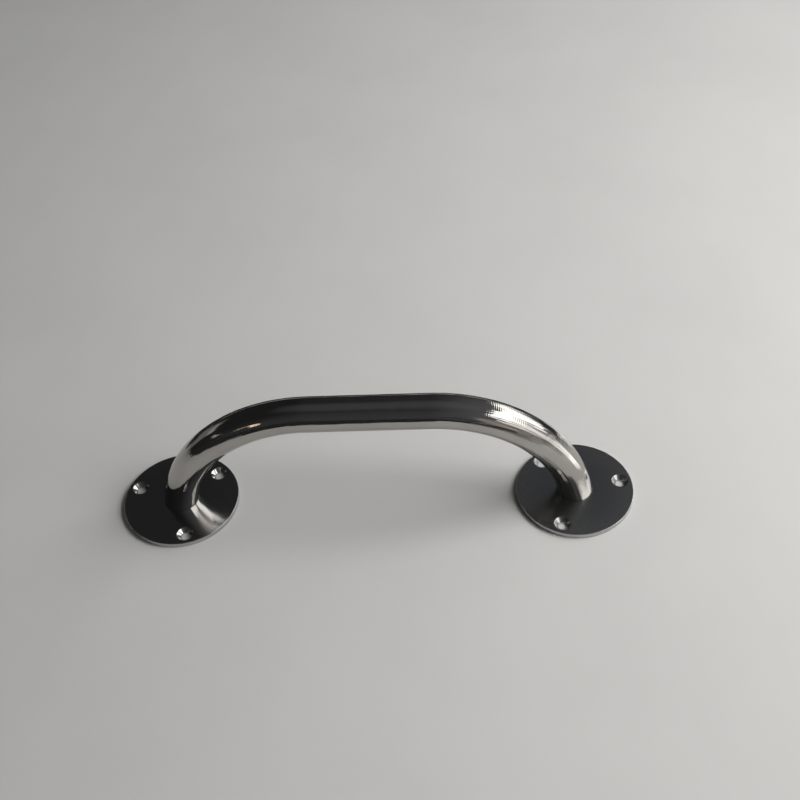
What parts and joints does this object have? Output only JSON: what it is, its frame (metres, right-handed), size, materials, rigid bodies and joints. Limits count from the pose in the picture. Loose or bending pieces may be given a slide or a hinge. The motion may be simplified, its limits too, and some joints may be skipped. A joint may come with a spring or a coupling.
{
  "type": "grab rail",
  "caption": "Low bent-tube grab rail welded to round base flanges, each with countersunk screw holes for bolting it to a deck or panel.",
  "frame": {"origin": "midway between the two feet, on the mounting surface that the flanges stand on", "axes": "+X along the rail from the left flange to the right flange, +Z away from the mounting surface, +Y across the rail"},
  "size_m": [0.331, 0.075, 0.091],
  "materials": {
    "polished_tube": "mirror-polished stainless steel tube with faint polishing lines along it",
    "polished_flange": "polished stainless steel plate with a soft blurred reflection",
    "ground_weld": "weld metal ground flush, matt and faintly heat-tinted"
  },
  "bodies": {
    "root": {"rail_tube": "polished_tube", "left_flange": "polished_flange", "right_flange": "polished_flange", "left_weld": "ground_weld", "right_weld": "ground_weld"}
  },
  "joints": []
}
